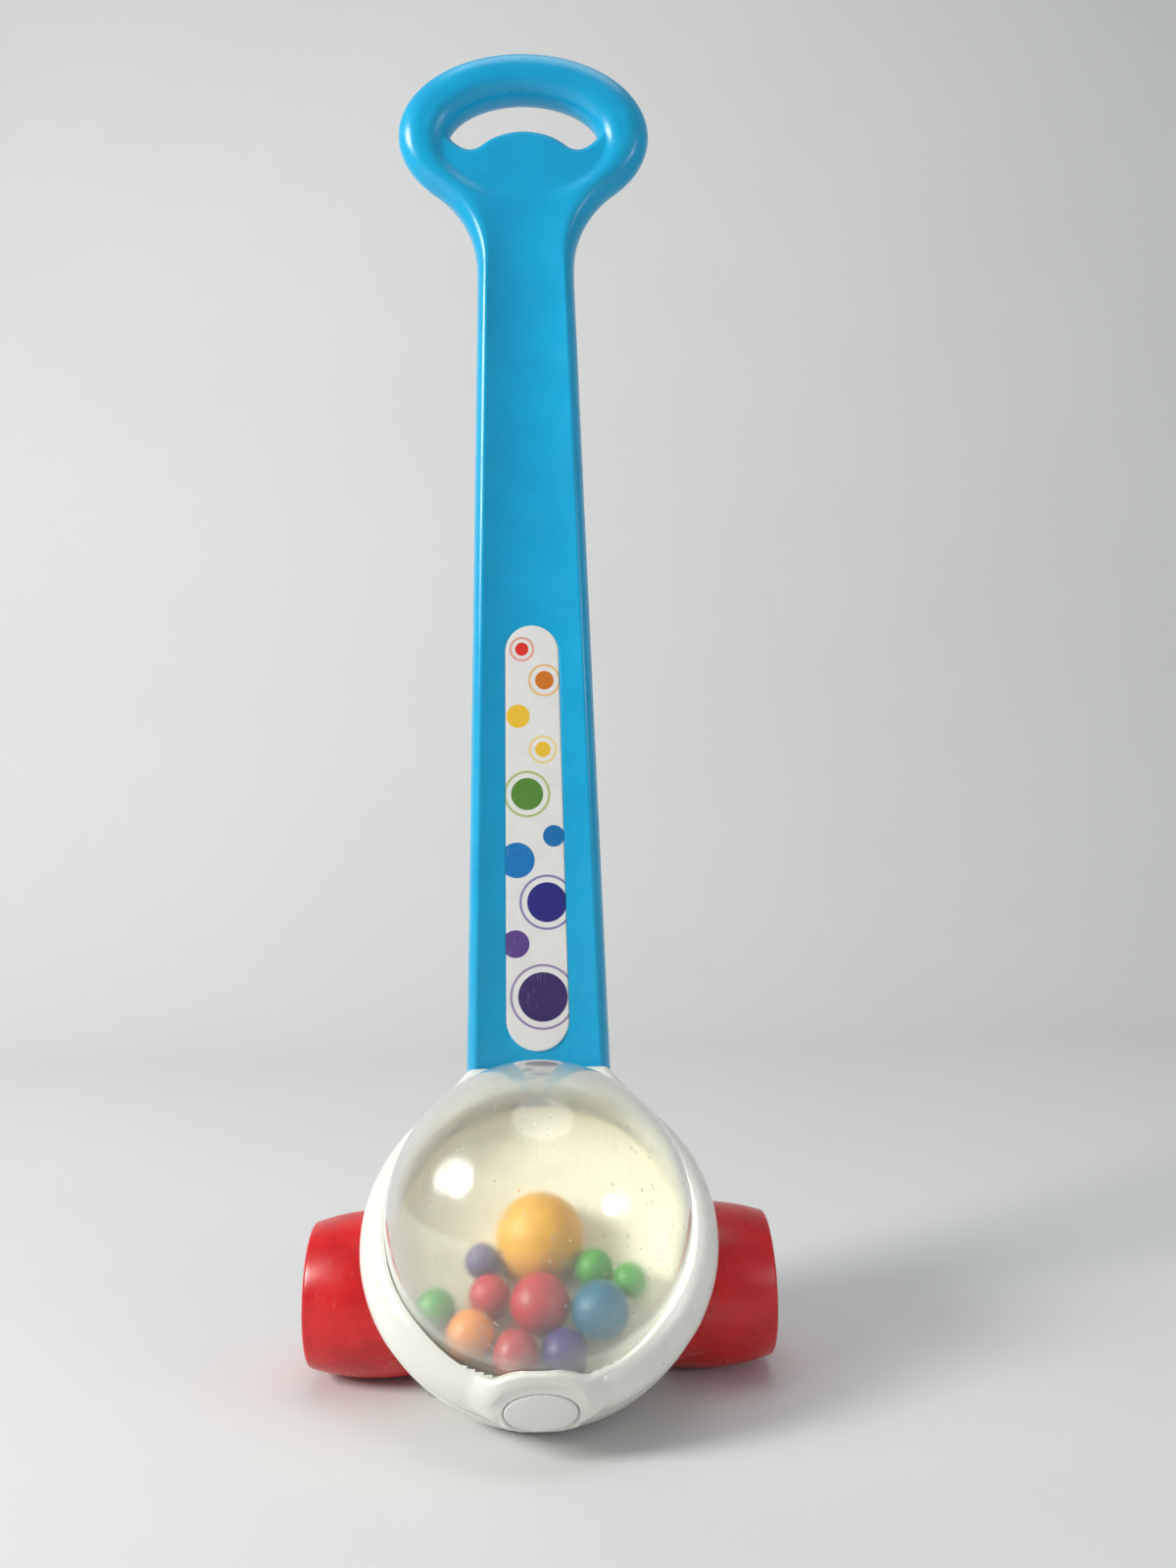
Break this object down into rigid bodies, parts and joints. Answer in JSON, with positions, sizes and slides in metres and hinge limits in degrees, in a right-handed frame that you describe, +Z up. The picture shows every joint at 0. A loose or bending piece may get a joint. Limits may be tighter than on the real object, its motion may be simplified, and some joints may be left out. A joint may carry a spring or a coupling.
{
  "type": "toddler push toy",
  "caption": "Toddler push toy: a clear dome of loose balls that a cam and a sprung popper make hop, a ball-shaped housing on barrel wheels, and a flat upright handle.",
  "frame": {"origin": "bottom centre of the whole toy's box, on the floor that it stands on", "axes": "+Z up along the handle, +X along the axle, -Y the front, where the dome leans forward"},
  "size_m": [0.2, 0.1488, 0.6011],
  "materials": {
    "axle_steel": "satin",
    "mechanism": "satin",
    "dome_clear": "gloss",
    "handle_blue": "gloss",
    "label_print": "satin",
    "screw_steel": "satin",
    "housing_white": "gloss",
    "badge_white": "gloss",
    "popper_yellow": "matte",
    "spring_steel": "polished",
    "floor_cream": "satin",
    "wheel_red": "satin",
    "ball_rose": "satin",
    "ball_navy": "satin",
    "ball_red": "satin",
    "ball_blue": "satin",
    "ball_orange": "satin",
    "ball_green": "satin",
    "ball_purple": "satin"
  },
  "bodies": {
    "base": {"lower_housing": "housing_white", "upper_collar": "housing_white", "clear_dome": "dome_clear", "popping_floor": "floor_cream", "handle": "handle_blue", "handle_label": "label_print", "oval_badge": "badge_white", "housing_screws": "screw_steel", "handle_screws": "screw_steel", "bush_left": "mechanism", "bush_right": "mechanism", "popper_spring": "spring_steel"},
    "rolling": {"axle": "axle_steel", "wheel_left": "wheel_red", "wheel_right": "wheel_red", "axle_cap_left": "axle_steel", "axle_cap_right": "axle_steel", "star_cam": "mechanism"},
    "popper": {"popper_head": "popper_yellow", "popper_stem": "mechanism"},
    "loose_rose_medium": {"ball_rose_medium": "ball_rose"},
    "loose_navy_medium": {"ball_navy_medium": "ball_navy"},
    "loose_red_large": {"ball_red_large": "ball_red"},
    "loose_blue_large": {"ball_blue_large": "ball_blue"},
    "loose_orange_medium": {"ball_orange_medium": "ball_orange"},
    "loose_red_small": {"ball_red_small": "ball_red"},
    "loose_green_left": {"ball_green_left": "ball_green"},
    "loose_purple_small": {"ball_purple_small": "ball_purple"},
    "loose_green_middle": {"ball_green_middle": "ball_green"},
    "loose_green_small": {"ball_green_small": "ball_green"}
  },
  "joints": [
    {"name": "wheel_spin", "type": "hinge", "parent": "base", "child": "rolling", "pos_m": [0, 0.03338, 0.0345], "axis": [1, 0, 0], "continuous": true},
    {"name": "popper_pop", "type": "slide", "parent": "base", "child": "popper", "axis": [0, -0.7071, 0.7071], "range_m": [0, 0.01], "stiffness_N_per_m": 300, "springref_m": -0.005, "deforming": ["popper_spring"]},
    {"name": "hop_rose_medium", "type": "slide", "parent": "base", "child": "loose_rose_medium", "axis": [0, -0.7071, 0.7071], "range_m": [0, 0.0139]},
    {"name": "hop_navy_medium", "type": "slide", "parent": "base", "child": "loose_navy_medium", "axis": [0, -0.7071, 0.7071], "range_m": [0, 0.0139]},
    {"name": "hop_red_large", "type": "slide", "parent": "base", "child": "loose_red_large", "axis": [0, -0.7071, 0.7071], "range_m": [0, 0.048]},
    {"name": "hop_blue_large", "type": "slide", "parent": "base", "child": "loose_blue_large", "axis": [0, -0.7071, 0.7071], "range_m": [0, 0.034]},
    {"name": "hop_orange_medium", "type": "slide", "parent": "base", "child": "loose_orange_medium", "axis": [0, -0.7071, 0.7071], "range_m": [0, 0.0135]},
    {"name": "hop_red_small", "type": "slide", "parent": "base", "child": "loose_red_small", "axis": [0, -0.7071, 0.7071], "range_m": [0, 0.0545]},
    {"name": "hop_green_left", "type": "slide", "parent": "base", "child": "loose_green_left", "axis": [0, -0.7071, 0.7071], "range_m": [0, 0.0148]},
    {"name": "hop_purple_small", "type": "slide", "parent": "base", "child": "loose_purple_small", "axis": [0, -0.7071, 0.7071], "range_m": [0, 0.0625]},
    {"name": "hop_green_middle", "type": "slide", "parent": "base", "child": "loose_green_middle", "axis": [0, -0.7071, 0.7071], "range_m": [0, 0.0605]},
    {"name": "hop_green_small", "type": "slide", "parent": "base", "child": "loose_green_small", "axis": [0, -0.7071, 0.7071], "range_m": [0, 0.047]}
  ]
}
